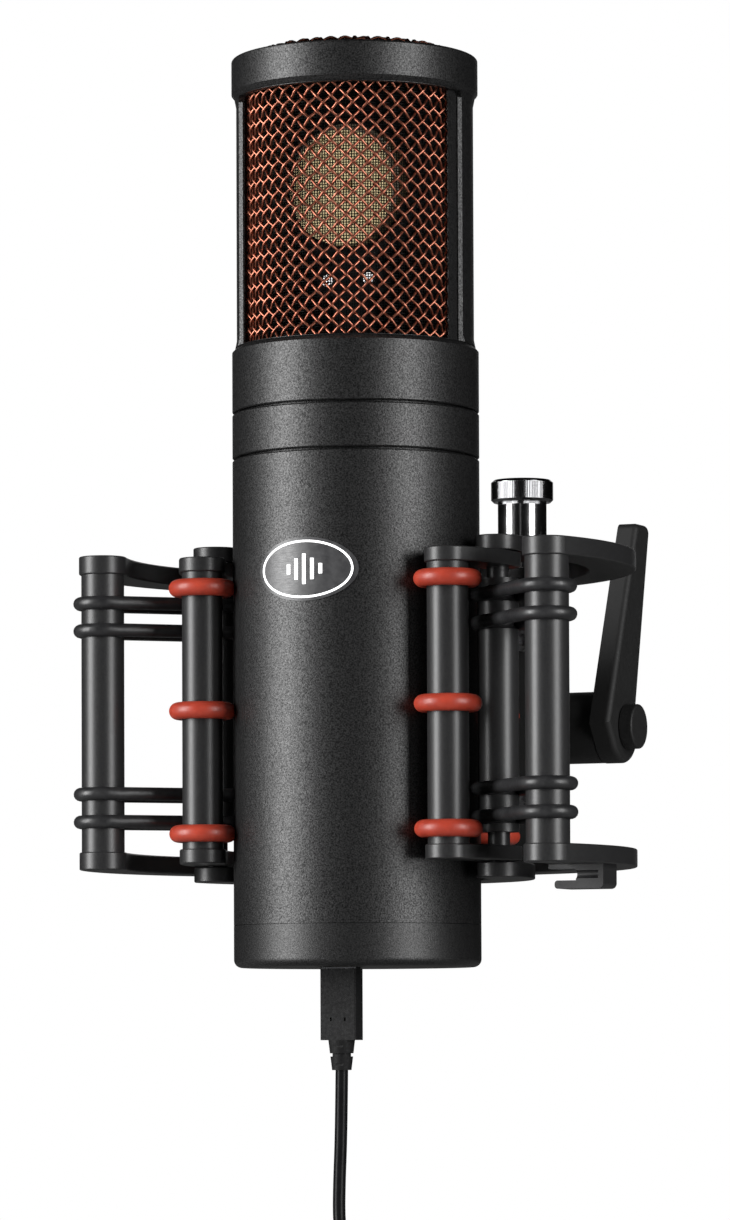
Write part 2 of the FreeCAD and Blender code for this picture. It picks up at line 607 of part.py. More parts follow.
def usb_cable():
    """From the boot down and over into the top of the coil, then off its front to the far plug."""
    lead_in = cord_tube([
        Vector(0, PORT_Y, BOOT_BOTTOM), Vector(0, PORT_Y, -37.0), Vector(-0.1, -9.1, -48.0),
        Vector(-0.1, -10.4, -57.0), Vector(2.6, -13.0, -62.6), Vector(9.5, -13.5, -66.7),
    ])
    tail = cord_tube([
        Vector(8.2, -16.3, -97.0), Vector(4.4, -16.3, -105.0), Vector(1.2, -13.6, -112.0),
        Vector(-0.1, -10.2, -117.5), Vector(FAR_PLUG_X, COIL_Y, FAR_BOOT_TOP),
    ])
    return Part.makeCompound([lead_in, tail])


def cable_coil():
    """The wound-up length, as the ring that its turns fill."""
    axis = Vector(0, COIL_Y - COIL_HALF, COIL_Z)
    outer = Part.makeCylinder(COIL_R + COIL_HALF, 2 * COIL_HALF, axis, ALONG_Y)
    return outer.cut(Part.makeCylinder(COIL_R - COIL_HALF, 4 * COIL_HALF, axis - ALONG_Y * 5, ALONG_Y))


def coil_tie():
    """A hook-and-loop strap round the coil's left side."""
    half, thick, gap = TIE_WIDTH / 2, 0.9, 0.15
    x0 = math.sqrt((COIL_R - COIL_HALF) ** 2 - half ** 2) - gap
    x1, grip = COIL_R + COIL_HALF + gap, COIL_HALF + gap
    outer = block(
        -x1 - thick, thick - x0, COIL_Y - grip - thick, COIL_Y + grip + thick, COIL_Z - half, COIL_Z + half
    )
    return outer.cut(block(-x1, -x0, COIL_Y - grip, COIL_Y + grip, COIL_Z - half - 1, COIL_Z + half + 1))


def far_plug():
    bottom, top = FAR_PLUG_Z
    body = block(FAR_PLUG_X - 7.8, FAR_PLUG_X + 7.8, COIL_Y - 4, COIL_Y + 4, bottom, top)
    body = round_edges(body, 1.4, lambda e: abs(e.Length - (top - bottom)) < 0.01)
    return body.fuse(Part.makeCone(3.0, 2.2, FAR_BOOT_TOP - top, Vector(FAR_PLUG_X, COIL_Y, top)))


def far_plug_shell():
    x0, x1, top = FAR_PLUG_X - 6.0, FAR_PLUG_X + 6.0, FAR_PLUG_Z[0]
    shell = block(x0, x1, COIL_Y - 2.25, COIL_Y + 2.25, FAR_SHELL_BOTTOM, top)
    mouth = block(x0 + 0.4, x1 - 0.4, COIL_Y - 1.85, COIL_Y + 0.3, FAR_SHELL_BOTTOM - 1, top - 1.5)
    return shell.cut(mouth)


def main():
    os.makedirs("parts", exist_ok=True)
    save("bottom_cap", bottom_cap())
    save("body_tube", body_tube())
    save("band_ring", band_ring())
    save("head_frame", head_frame())
    save("head_mesh", head_mesh())
    save("mesh_top", mesh_top())
    save("fine_mesh", fine_mesh())
    save("emblem_badge", badge())
    save("capsule_front", capsule_half(-1))
    save("capsule_rear", capsule_half(1))
    save("capsule_spacer", capsule_spacer())
    save("capsule_terminals", capsule_terminals())
    save("capsule_saddle", capsule_saddle())
    save("saddle_screws", saddle_screws())
    save("main_board", main_board())
    save("chassis_rails", chassis_rails())
    save("usb_socket", usb_socket())

    screwed = INNER_TOP[1], INNER_SCREWS, INNER_POST_AT
    save("inner_plate_top", let_in(inner_plate(*INNER_TOP), *screwed))
    save("inner_screws", plate_screws(*screwed))
    save("inner_plate_bottom", inner_plate(*INNER_BOTTOM))
    screwed = OUTER_TOP[1], OUTER_SCREWS, OUTER_POST_AT
    save("outer_plate_top", let_in(outer_plate(*OUTER_TOP), *screwed))
    save("outer_screws", plate_screws(*screwed))
    save("outer_plate_bottom", outer_plate(*OUTER_BOTTOM))
    for name, side in SIDES.items():
        save(f"inner_post_{name}", inner_post(side))
        save(f"rear_grip_post_{name}", grip_post(side * REAR_GRIP_ANGLE, INNER_BOTTOM[1], INNER_TOP[0]))
        save(f"rear_grip_rings_{name}", grip_rings(side * REAR_GRIP_ANGLE))
        save(f"grip_arm_top_{name}", grip_arm(side, *ARM_TOP))
        save(f"grip_arm_bottom_{name}", grip_arm(side, *ARM_BOTTOM))
        save(f"grip_post_{name}", grip_post(side * GRIP_ANGLE, ARM_BOTTOM[1], ARM_TOP[0]))
        save(f"grip_rings_{name}", grip_rings(side * GRIP_ANGLE))
        save(f"outer_post_{name}", outer_post(side))
        for pair in BAND_PAIRS:
            save(f"bands_{pair}_{name}", elastic_bands(side, pair))

    save("rear_bracket", rear_bracket())
    save("bracket_screws", bracket_screws())
    save("tilt_fork", tilt_fork())
    save("pivot_barrel", pivot_barrel())
    save("pivot_bolt", pivot_bolt())
    save("pivot_nut", pivot_nut())
    save("cable_clip", cable_clip())
    save("clamp_lever", clamp_lever())
    save("stand_adapter", stand_adapter())
    save("lock_screw", lock_screw())

    save("plug_shell", plug_shell())
    save("usb_plug", plug_body())
    save("usb_cable", usb_cable())
    save("cable_coil", cable_coil())
    save("coil_tie", coil_tie())
    save("far_plug", far_plug())
    save("far_plug_shell", far_plug_shell())


main()
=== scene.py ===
"""Looks of the condenser microphone in its elastic shock mount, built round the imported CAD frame.

Everything is in metres, in the part's frame. mic(x, y, z) gives a point measured from the
microphone's own origin, on its axis at its underside, with the badge facing -Y.
"""

import json
import math

import bpy
from mathutils import Matrix, Vector


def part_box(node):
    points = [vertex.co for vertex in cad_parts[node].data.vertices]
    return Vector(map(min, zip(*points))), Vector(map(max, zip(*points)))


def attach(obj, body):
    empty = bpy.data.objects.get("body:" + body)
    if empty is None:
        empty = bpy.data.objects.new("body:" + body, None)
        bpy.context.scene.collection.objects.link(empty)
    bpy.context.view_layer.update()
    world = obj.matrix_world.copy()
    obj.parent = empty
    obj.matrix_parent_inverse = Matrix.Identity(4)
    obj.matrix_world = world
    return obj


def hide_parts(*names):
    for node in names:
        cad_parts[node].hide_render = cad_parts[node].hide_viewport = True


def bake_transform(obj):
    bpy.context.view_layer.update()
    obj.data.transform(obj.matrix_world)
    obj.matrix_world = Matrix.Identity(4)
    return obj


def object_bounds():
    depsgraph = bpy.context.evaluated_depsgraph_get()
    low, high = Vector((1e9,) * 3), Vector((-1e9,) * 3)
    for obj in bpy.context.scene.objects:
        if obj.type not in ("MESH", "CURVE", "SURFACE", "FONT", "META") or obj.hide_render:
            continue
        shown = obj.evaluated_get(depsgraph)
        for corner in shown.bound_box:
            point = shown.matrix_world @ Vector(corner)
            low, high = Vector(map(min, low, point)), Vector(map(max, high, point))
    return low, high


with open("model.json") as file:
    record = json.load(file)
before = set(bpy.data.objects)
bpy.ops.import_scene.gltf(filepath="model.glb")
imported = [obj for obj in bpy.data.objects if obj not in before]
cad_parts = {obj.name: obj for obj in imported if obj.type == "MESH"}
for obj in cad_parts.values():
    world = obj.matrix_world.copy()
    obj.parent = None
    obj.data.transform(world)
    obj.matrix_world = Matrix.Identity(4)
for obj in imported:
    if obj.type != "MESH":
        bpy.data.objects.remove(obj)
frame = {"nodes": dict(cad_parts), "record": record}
cad_low, cad_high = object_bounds()

MM = 0.001
UP = Vector((0, 0, 1))


def middle(node):
    """The middle of a CAD node's box."""
    low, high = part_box(node)
    return (low + high) / 2


MIC = Vector((middle("body_tube").x, middle("body_tube").y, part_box("bottom_cap")[0].z))


def mic(x, y, z):
    """A point measured from the microphone's own origin."""
    return MIC + Vector((x, y, z))


def on_circle(centre, radius, turn, z):
    """A point round a vertical axis, its turn measured from the badge's side towards +X."""
    return Vector((centre.x + radius * math.sin(turn), centre.y - radius * math.cos(turn), z))


# ---- camera, light and floor ----
CAMERA_TURN = math.radians(24.3)        # from the badge's side towards +X
CAMERA_PITCH = math.radians(2.045)
CAMERA_ROLL = math.radians(-0.22)
CAMERA_FAR = 1.2
CAMERA_DROP = 0.0176                    # below the microphone's underside
CAMERA_LENS, CAMERA_SENSOR = 159.4, 36.0        # in mm
CAMERA_SHIFT = (0.0062, 0.2)            # right and up, for the framing
WORLD_LIGHT = 0.005
AIM_HEIGHT = 0.1                        # the softboxes face the microphone's middle
FLOOR_GAP = 0.03                        # below the lowest plug
FLOOR_R = 2.0
FLOOR_CORNERS = 96

# name, turn from the camera's side in degrees, distance, height, width, tall, watts
SOFTBOXES = (
    ("left_strip", -69, 1.2, 0.16, 0.52, 1.3, 30),
    ("right_strip", 50, 1.2, 0.22, 0.48, 1.1, 17),
    ("back_fill", 178, 1.6, 0.5, 0.9, 0.9, 1.5),
    ("overhead", 0, 0.3, 1.5, 0.8, 0.8, 0.3),
)


def add_camera():
    """The camera, to the microphone's right and just below its underside."""
    data = bpy.data.cameras.new("camera")
    data.lens, data.sensor_width = CAMERA_LENS, CAMERA_SENSOR
    data.shift_x, data.shift_y = CAMERA_SHIFT
    data.clip_start, data.clip_end = 0.05, 50
    camera = bpy.data.objects.new("camera", data)
    bpy.context.scene.collection.objects.link(camera)
    place = on_circle(MIC, CAMERA_FAR, CAMERA_TURN, MIC.z - CAMERA_DROP)
    turn = Matrix.Rotation(CAMERA_TURN, 4, "Z")
    tip = Matrix.Rotation(math.pi / 2 + CAMERA_PITCH, 4, "X")
    camera.matrix_world = Matrix.Translation(place) @ turn @ tip @ Matrix.Rotation(CAMERA_ROLL, 4, "Z")
    bpy.context.scene.camera = camera


def add_world():
    """White behind the object, and dim grey all round it as its light."""
    world = bpy.data.worlds.new("studio")
    world.use_nodes = True
    bpy.context.scene.world = world
    tree = world.node_tree
    backdrop = tree.nodes["Background"]
    backdrop.inputs["Color"].default_value = (1, 1, 1, 1)
    dim = tree.nodes.new("ShaderNodeBackground")
    dim.inputs["Color"].default_value = (WORLD_LIGHT, WORLD_LIGHT, WORLD_LIGHT, 1)
    rays = tree.nodes.new("ShaderNodeLightPath")
    mix = tree.nodes.new("ShaderNodeMixShader")
    tree.links.new(rays.outputs["Is Camera Ray"], mix.inputs["Fac"])
    tree.links.new(dim.outputs[0], mix.inputs[1])
    tree.links.new(backdrop.outputs[0], mix.inputs[2])
    tree.links.new(mix.outputs[0], tree.nodes["World Output"].inputs["Surface"])


def add_softbox(name, turn, far, height, width, tall, watts):
    """A soft rectangular light, turned from the camera's side, facing the microphone."""
    data = bpy.data.lights.new(name, "AREA")
    data.shape, data.size, data.size_y = "RECTANGLE", width, tall
    data.energy = watts
    light = bpy.data.objects.new(name, data)
    bpy.context.scene.collection.objects.link(light)
    light.location = on_circle(MIC, far, CAMERA_TURN + math.radians(turn), MIC.z + height)
    aim = light.location - mic(0, 0, AIM_HEIGHT)
    light.rotation_euler = aim.to_track_quat("Z", "Y").to_euler()
    light.visible_camera = False


def add_floor():
    """A round grey floor below the lead's far plug."""
    mesh = bpy.data.meshes.new("floor")
    turns = [2 * math.pi * i / FLOOR_CORNERS for i in range(FLOOR_CORNERS)]
    ring = [on_circle(MIC, FLOOR_R, turn, cad_low.z - FLOOR_GAP) for turn in turns]
    mesh.from_pydata([tuple(p) for p in ring], [], [tuple(range(FLOOR_CORNERS))])
    floor = bpy.data.objects.new("floor", mesh)
    bpy.context.scene.collection.objects.link(floor)
    paint = Paint("floor_paint", (0.27, 0.27, 0.27), 0.7)
    paint.grain(scale=90, height=0.0002, strength=0.1)
    mesh.materials.append(paint.material)


# ---- materials ----
CAPSULE_RIM = 11.7 * MM                 # from the gold disc's middle to its rim, before the scaling
CAPSULE_SCALE = (0.93, 0, 0.88)         # of the coordinates, so the disc is wider and taller by 1 / scale
CAPSULE_SHIFT = Vector((-0.8, 0, -0.9)) * MM    # of the disc from the terminals' middle
CAPSULE_RIPPLES = 56.0                  # phase at the rim, in radians
SCREW_CAP_TALL, SCREW_CAP_EDGE = 6.0 * MM, 0.7 * MM     # the knurl's lower and upper ends, from the top
SCREW_FLUTES = 120.0


class Paint:
    """A Principled material with procedural detail in object space.

    mottle and roughen take over from the even colour and roughness that a paint starts with.
    """

    def __init__(self, name, colour, rough, metallic=0.0, **sockets):
        self.material = bpy.data.materials.new(name)
        self.material.use_nodes = True
        self.tree = self.material.node_tree
        self.shader = self.tree.nodes["Principled BSDF"]
        self.bump = None
        self.set("Base Color", (*colour, 1))
        self.set("Roughness", rough)
        self.set("Metallic", metallic)
        for socket, value in sockets.items():
            self.set(socket.replace("_", " "), value)
        coords = self.node("ShaderNodeTexCoord")
        self.place = coords.outputs["Object"]

    def set(self, socket, value):
        self.shader.inputs[socket].default_value = value

    def node(self, kind, **settings):
        made = self.tree.nodes.new(kind)
        for setting, value in settings.items():
            setattr(made, setting, value)
        return made

    def link(self, start, end):
        self.tree.links.new(start, end)

    def moved(self, offset, stretch=(1, 1, 1)):
        """Object coordinates from another origin, scaled along each axis."""
        mapping = self.node("ShaderNodeMapping")
        mapping.inputs["Location"].default_value = [-o * s for o, s in zip(offset, stretch)]
        mapping.inputs["Scale"].default_value = stretch
        self.link(self.place, mapping.inputs["Vector"])
        return mapping.outputs["Vector"]

    def noise(self, scale, detail=2.0, vector=None):
        texture = self.node("ShaderNodeTexNoise")
        texture.inputs["Scale"].default_value = scale
        texture.inputs["Detail"].default_value = detail
        self.link(vector or self.place, texture.inputs["Vector"])
        return texture.outputs["Fac"]

    def math(self, operation, a, b=None):
        made = self.node("ShaderNodeMath", operation=operation)
        for socket, value in zip(made.inputs, (a, b)):
            if isinstance(value, (int, float)):
                socket.default_value = value
            elif value is not None:
                self.link(value, socket)
        return made.outputs[0]

    def spread(self, value, low, high, start=0.0, end=1.0):
        """Map a value from start..end to low..high."""
        made = self.node("ShaderNodeMapRange")
        made.inputs["From Min"].default_value, made.inputs["From Max"].default_value = start, end
        made.inputs["To Min"].default_value, made.inputs["To Max"].default_value = low, high
        self.link(value, made.inputs["Value"])
        return made.outputs["Result"]

    def mottle(self, value, dark, light, start=0.3, end=0.7):
        """Colour that wanders between two tones."""
        ramp = self.node("ShaderNodeValToRGB")
        ramp.color_ramp.elements[0].position, ramp.color_ramp.elements[1].position = start, end
        ramp.color_ramp.elements[0].color = (*dark, 1)
        ramp.color_ramp.elements[1].color = (*light, 1)
        self.link(value, ramp.inputs["Fac"])
        self.link(ramp.outputs["Color"], self.shader.inputs["Base Color"])
        return ramp.outputs["Color"]

    def roughen(self, value, low, high, start=0.3, end=0.7):
        """Roughness that wanders between two values."""
        self.link(self.spread(value, low, high, start, end), self.shader.inputs["Roughness"])

    def raise_by(self, value, height, strength=1.0):
        """Add a layer of relief. height is in metres."""
        bump = self.node("ShaderNodeBump")
        bump.inputs["Strength"].default_value = strength
        bump.inputs["Distance"].default_value = height
        self.link(value, bump.inputs["Height"])
        if self.bump:
            self.link(self.bump, bump.inputs["Normal"])
        self.bump = bump.outputs["Normal"]
        self.link(self.bump, self.shader.inputs["Normal"])

    def grain(self, scale, height, strength=1.0, detail=2.0):
        """Relief from a noise, which is returned for more use."""
        value = self.noise(scale, detail)
        self.raise_by(value, height, strength)
        return value


def mic_paint(name="mic_paint", coarse=3300.0, sparkle=0.27):
    """Black powder paint with a sandy grain, whose grains shine unevenly."""
    paint = Paint(name, (0.005, 0.005, 0.0052), 0.45)
    sand = paint.grain(coarse, 0.0001, 0.3, detail=1.0)
    paint.roughen(sand, 0.41, 0.49)
    grains = paint.noise(coarse * 0.9, 1.0)
    shine = paint.spread(grains, 0.5 - sparkle, 0.5 + sparkle, start=0.3, end=0.7)
    paint.link(shine, paint.shader.inputs["Specular IOR Level"])
    paint.mottle(grains, (0.002, 0.002, 0.0021), (0.009, 0.009, 0.0092))
    return paint.material


def mount_metal():
    """Satin black anodised metal with a very fine grain."""
    paint = Paint("mount_metal", (0.018, 0.018, 0.0185), 0.37)
    fine = paint.noise(2600, 1.0)
    paint.roughen(fine, 0.35, 0.41)
    paint.raise_by(fine, 0.00001, 0.2)
    paint.mottle(fine, (0.015, 0.015, 0.0155), (0.021, 0.021, 0.0215))
    return paint.material


def swivel_black():
    """Matt black coating over a casting."""
    paint = Paint("swivel_black", (0.006, 0.006, 0.006), 0.62)
    skin = paint.grain(1800, 0.00004, 0.4)
    paint.roughen(skin, 0.57, 0.68)
    paint.mottle(skin, (0.005, 0.005, 0.005), (0.0075, 0.0075, 0.0075))
    return paint.material


def copper(name="copper_wire", tone=1.0):
    """Drawn wire; tone darkens it: painted shade, as on the crown, which lies in shadow."""
    tones = ((0.37, 0.130, 0.083), (0.31, 0.105, 0.065), (0.43, 0.165, 0.108))
    shade, dark, light = [[c * tone for c in colour] for colour in tones]
    paint = Paint(name, shade, 0.38, metallic=1.0)
    drawn = paint.noise(2600, 2.0)
    paint.roughen(drawn, 0.33, 0.45)
    paint.raise_by(drawn, 0.00002, 0.3)
    paint.mottle(paint.noise(420), dark, light)
    return paint.material


def black_wire():
    """Blackened wire that hardly shines."""
    paint = Paint("black_wire", (0.002, 0.002, 0.002), 0.6, Specular_IOR_Level=0.2)
    drawn = paint.grain(3200, 0.00002, 0.3)
    paint.roughen(drawn, 0.55, 0.68)
    paint.mottle(paint.noise(900), (0.0015, 0.0015, 0.0015), (0.003, 0.003, 0.003))
    return paint.material


def gold_film():
    """A gold-sputtered membrane, much darker outside its rim."""
    # the colour outside the disc's rim is far darker than the gold
    gold, outside_rim_colour = (0.66, 0.52, 0.27), (0.075, 0.052, 0.022)
    paint = Paint("capsule_gold", gold, 0.37, metallic=0.15)
    flat = paint.moved(middle("capsule_terminals") + CAPSULE_SHIFT, CAPSULE_SCALE)
    away = paint.node("ShaderNodeVectorMath", operation="LENGTH")
    paint.link(flat, away.inputs[0])
    share = paint.math("DIVIDE", away.outputs["Value"], CAPSULE_RIM)
    paint.mottle(paint.math("MULTIPLY", share, 0.5), gold, outside_rim_colour, start=0.495, end=0.505)
    ripples = paint.math("SINE", paint.math("MULTIPLY", share, CAPSULE_RIPPLES))
    paint.raise_by(ripples, 0.00003, 0.35)
    film = paint.noise(700, 2.0)
    paint.roughen(film, 0.3, 0.44)
    return paint.material


def plastic(name, colour, rough, shine):
    """Moulded plastic with a fine spark-eroded texture."""
    paint = Paint(name, colour, rough, Specular_IOR_Level=shine)
    skin = paint.grain(1600, 0.00006, 0.4)
    paint.roughen(skin, rough - 0.08, rough + 0.1)
    paint.mottle(paint.noise(200), [c * 0.8 for c in colour], [c * 1.25 for c in colour])
    return paint.material


def steel(name, colour, rough):
    """Turned steel."""
    paint = Paint(name, colour, rough, metallic=1.0)
    turned = paint.noise(1.0, vector=paint.moved((0, 0, 0), stretch=(800, 800, 4500)))
    paint.roughen(turned, rough - 0.06, rough + 0.1)
    paint.raise_by(turned, 0.00001, 0.4)
    paint.mottle(paint.noise(260), [c * 0.85 for c in colour], [min(1, c * 1.1) for c in colour])
    return paint.material


def chrome():
    """Polished chrome, finely knurled round the cap, whose colour is painted darker than the shaft's as
    painted shade.
    """
    low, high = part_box("lock_screw")
    axis = (low + high) / 2
    # the cap is a darker copy of the same chrome: painted shade for the darker reflection the cap shows
    shaft, cap = (0.42, 0.42, 0.425), (0.20, 0.20, 0.205)
    paint = Paint("chrome", shaft, 0.15, metallic=1.0)
    place = paint.node("ShaderNodeSeparateXYZ")
    paint.link(paint.moved(axis), place.inputs[0])
    turn = paint.math("ARCTAN2", place.outputs["Y"], place.outputs["X"])
    flutes = paint.math("SINE", paint.math("MULTIPLY", turn, SCREW_FLUTES))
    top = high.z - axis.z
    on_cap = paint.math("GREATER_THAN", place.outputs["Z"], top - SCREW_CAP_TALL)
    below_edge = paint.math("LESS_THAN", place.outputs["Z"], top - SCREW_CAP_EDGE)
    knurl = paint.math("MULTIPLY", flutes, paint.math("MULTIPLY", on_cap, below_edge))
    paint.raise_by(knurl, 0.00003, 0.5)
    smears = paint.noise(140, 4.0)
    paint.roughen(smears, 0.12, 0.18)
    # tone picks the painted-shade cap colour, with a little random variation
    tone = paint.math("ADD", on_cap, paint.math("MULTIPLY", paint.noise(90), 0.1))
    paint.mottle(tone, shaft, cap, start=0.0, end=1.0)
    return paint.material


def red_rubber():
    """Satin silicone."""
    paint = Paint("red_rubber", (0.39, 0.043, 0.021), 0.41)
    paint.set("Subsurface Weight", 0.08)
    paint.set("Subsurface Scale", 0.001)
    skin = paint.grain(1300, 0.00003, 0.3)
    paint.roughen(skin, 0.36, 0.46)
    paint.mottle(paint.noise(320), (0.34, 0.036, 0.018), (0.44, 0.051, 0.026))
    return paint.material


def black_rubber():
    """Satin rubber of the elastic loops."""
    paint = Paint("black_rubber", (0.018, 0.018, 0.019), 0.40)
    skin = paint.grain(1500, 0.00003, 0.35)
    paint.roughen(skin, 0.32, 0.48)
    paint.mottle(paint.noise(400), (0.013, 0.013, 0.014), (0.024, 0.024, 0.025))
    return paint.material


def cord_jacket():
    """Smooth soft plastic."""
    paint = Paint("cord_jacket", (0.0065, 0.0065, 0.007), 0.31, Specular_IOR_Level=0.09)
    skin = paint.grain(900, 0.00004, 0.25)
    paint.roughen(skin, 0.27, 0.35)
    paint.mottle(paint.noise(160), (0.005, 0.005, 0.0055), (0.008, 0.008, 0.0085))
    return paint.material


def tie_fabric():
    """Hook-and-loop strap: short loops standing out of a woven ground."""
    paint = Paint("tie_fabric", (0.014, 0.014, 0.015), 0.85, Sheen_Weight=0.3)
    loops = paint.node("ShaderNodeTexVoronoi")
    loops.inputs["Scale"].default_value = 1500
    paint.link(paint.place, loops.inputs["Vector"])
    paint.raise_by(loops.outputs["Distance"], 0.0003, 0.8)
    # the colour follows the relief, darker where it is low: painted shade in the hollows between the
    # loops
    paint.mottle(loops.outputs["Distance"], (0.006, 0.006, 0.006), (0.03, 0.03, 0.032), 0.1, 0.8)
    return paint.material


def circuit_board():
    """Green lacquer over copper tracks."""
    paint = Paint("circuit_board", (0.01, 0.09, 0.04), 0.35)
    tracks = paint.node("ShaderNodeTexBrick")
    tracks.inputs["Scale"].default_value = 160
    paint.link(paint.place, tracks.inputs["Vector"])
    paint.mottle(tracks.outputs["Fac"], (0.008, 0.08, 0.035), (0.02, 0.16, 0.07), 0.2, 0.8)
    paint.raise_by(tracks.outputs["Fac"], 0.00003, 0.5)
    return paint.material


def painted_glow_enamel():
    """White lines of the badge, with a painted glow: emission makes them shine though no lamp is in them.
    """
    paint = Paint("badge_line", (0.9, 0.9, 0.9), 0.4)
    # painted glow: emission makes the white lines shine as if lit
    paint.set("Emission Color", (1, 1, 1, 1))
    paint.set("Emission Strength", 1.6)
    glow = paint.noise(500)
    paint.roughen(glow, 0.35, 0.5)
    paint.mottle(glow, (0.84, 0.84, 0.85), (0.94, 0.94, 0.94))
    return paint.material


def badge_plate():
    """Dark brushed metal under the badge's lines."""
    paint = Paint("badge_plate", (0.05, 0.05, 0.052), 0.36)
    brushed = paint.noise(1.0, vector=paint.moved((0, 0, 0), stretch=(600, 600, 5200)))
    paint.raise_by(brushed, 0.00001, 0.4)
    paint.roughen(brushed, 0.28, 0.45)
    paint.mottle(paint.noise(500), (0.035, 0.035, 0.037), (0.065, 0.065, 0.067))
    return paint.material


def dress_cad_nodes():
    """Give every CAD node that stays in sight its finish."""
    finishes = {
        "mic_paint": LOOK["mic_paint"], "mount_metal": LOOK["mount_metal"],
        "swivel_black": LOOK["swivel_black"], "copper_mesh": LOOK["copper"],
        "fine_mesh": LOOK["black_wire"], "badge": LOOK["badge_plate"], "capsule_gold": LOOK["gold"],
        "dark_plastic": LOOK["dark_plastic"], "steel": LOOK["steel"], "circuit_board": LOOK["board"],
        "chrome": LOOK["chrome"], "red_rubber": LOOK["red_rubber"], "black_rubber": LOOK["black_rubber"],
        "plug_plastic": LOOK["plug_plastic"], "cord_jacket": LOOK["cord_jacket"],
        "tie_fabric": LOOK["tie_fabric"],
    }
    special = {
        "bottom_cap": LOOK["cap_paint"], "bracket_screws": LOOK["screw_steel"],
        "saddle_screws": LOOK["bright_steel"],
        # near-black steel on the plug's shell and the socket: painted shade in the gap under the
        # microphone
        "plug_shell": LOOK["painted_shade_steel"], "usb_socket": LOOK["painted_shade_steel"],
    }
    for part in frame["record"]["subparts"]:
        node = frame["nodes"][part["node"]]
        look = special.get(part["node"], finishes[part["material_slot"]])
        node.data.materials.clear()
        node.data.materials.append(look)


# ---- mesh making ----
def add_mesh(name, verts, faces, look, smooth=True):
    """A new object with one finish."""
    mesh = bpy.data.meshes.new(name)
    mesh.from_pydata([tuple(v) for v in verts], [], faces)
    mesh.polygons.foreach_set("use_smooth", [smooth] * len(mesh.polygons))
    mesh.materials.append(look)
    made = bpy.data.objects.new(name, mesh)
    bpy.context.scene.collection.objects.link(made)
    return made


def sweep(paths, radius, sides=8, closed=False):
    """Round tubes along paths, their sections carried along without twist."""
    verts, faces = [], []
    for path in paths:
        base, count, normal = len(verts), len(path), None
        for i, p in enumerate(path):
            before = path[i - 1] if i or closed else p
            after = path[(i + 1) % count] if i < count - 1 or closed else p
            tangent = (after - before).normalized()
            normal = normal or tangent.orthogonal()
            normal = (normal - tangent * normal.dot(tangent)).normalized()
            across = tangent.cross(normal)
            for s in range(sides):
                a = 2 * math.pi * s / sides
                verts.append(p + (normal * math.cos(a) + across * math.sin(a)) * radius)
        for i in range(count if closed else count - 1):
            here, there = base + i * sides, base + (i + 1) % count * sides
            for s in range(sides):
                t = (s + 1) % sides
                faces.append((here + s, here + t, there + t, there + s))
        if not closed:
            faces.append(tuple(reversed(range(base, base + sides))))
            faces.append(tuple(range(base + (count - 1) * sides, base + count * sides)))
    return verts, faces


def join(shape, more):
    """Put another shape's points and faces after those of the first."""
    verts, faces = shape
    more_verts, more_faces = more
    return verts + more_verts, faces + [tuple(v + len(verts) for v in face) for face in more_faces]


def strap(path, half_width, thick):
    """A closed upright band: path's points are its inner face, each with its outward direction."""
    verts, faces = [], []
    for p, out in path:
        for lift, side in ((0, -1), (0, 1), (thick, 1), (thick, -1)):
            verts.append(p + out * lift + UP * (side * half_width))
    count = len(path)
    for i in range(count):
        here, there = 4 * i, 4 * ((i + 1) % count)
        for s in range(4):
            t = (s + 1) % 4
            faces.append((here + s, here + t, there + t, there + s))
    return verts, faces


# ---- head: wire cloth ----
WIRES = 46                              # of each hand, round the head
WIRE_R, WAVE = 0.31 * MM, 0.32 * MM     # a wire's radius, and how far it swings in and out
CLOTH_R = 24.1 * MM
SHOULDER = 4.6 * MM                     # the bend from the wall to the crown
STEPS_PER_CROSSING = 4
FINE_PITCH, FINE_WIRE_R = 0.60 * MM, 0.13 * MM
FINE_RING_STEPS = 96
BAFFLE_GAP = 0.6 * MM                   # between the baffle and the fine cloth
BAFFLE_START, BAFFLE_END = math.radians(98), math.radians(262)
BAFFLE_THICK, BAFFLE_WAVE = 0.35 * MM, 0.12 * MM
BAFFLE_STEPS, BAFFLE_RIBS = 192, 48


def cloth_wall(low, high):
    """Wires of both hands at 45 degrees, passing over and under by turns."""
    pitch = math.pi * CLOTH_R / WIRES
    steps = round((high - low) / pitch * STEPS_PER_CROSSING)
    paths = []
    for hand in (1, -1):
        for i in range(WIRES):
            path = []
            for k in range(steps + 1):
                rise = (high - low) * k / steps
                radius = CLOTH_R + hand * WAVE * math.cos(math.pi * rise / pitch)
                turn = 2 * math.pi * i / WIRES + hand * rise / CLOTH_R
                path.append(on_circle(MIC, radius, turn, low + rise))
            paths.append(path)
    return paths


def cloth_crown(top):
    """The same weave laid flat across the top and bent down over a round shoulder."""
    pitch = 2 * math.pi * CLOTH_R / WIRES / math.sqrt(2)
    count = int(CLOTH_R / pitch)
    flat_r = CLOTH_R - SHOULDER
    paths = []
    for hand in (0, 1):
        for i in range(-count, count + 1):
            offset = i * pitch
            half = math.sqrt(CLOTH_R ** 2 - offset ** 2)
            steps = max(4, round(2 * half / pitch * STEPS_PER_CROSSING))
            path = []
            for k in range(steps + 1):
                along = half * (2 * k / steps - 1)
                away = math.hypot(along, offset)
                over = max(0.0, min(away, CLOTH_R) - flat_r)
                wave = WAVE * (-1) ** (i + hand) * math.cos(math.pi * along / pitch)
                z = top - SHOULDER + math.sqrt(max(0.0, SHOULDER ** 2 - over ** 2)) + wave
                x, y = (along, offset) if hand == 0 else (offset, along)
                x, y = (x - y) / math.sqrt(2), (x + y) / math.sqrt(2)
                path.append(Vector((MIC.x + x, MIC.y + y, z)))
            paths.append(path)
    return paths


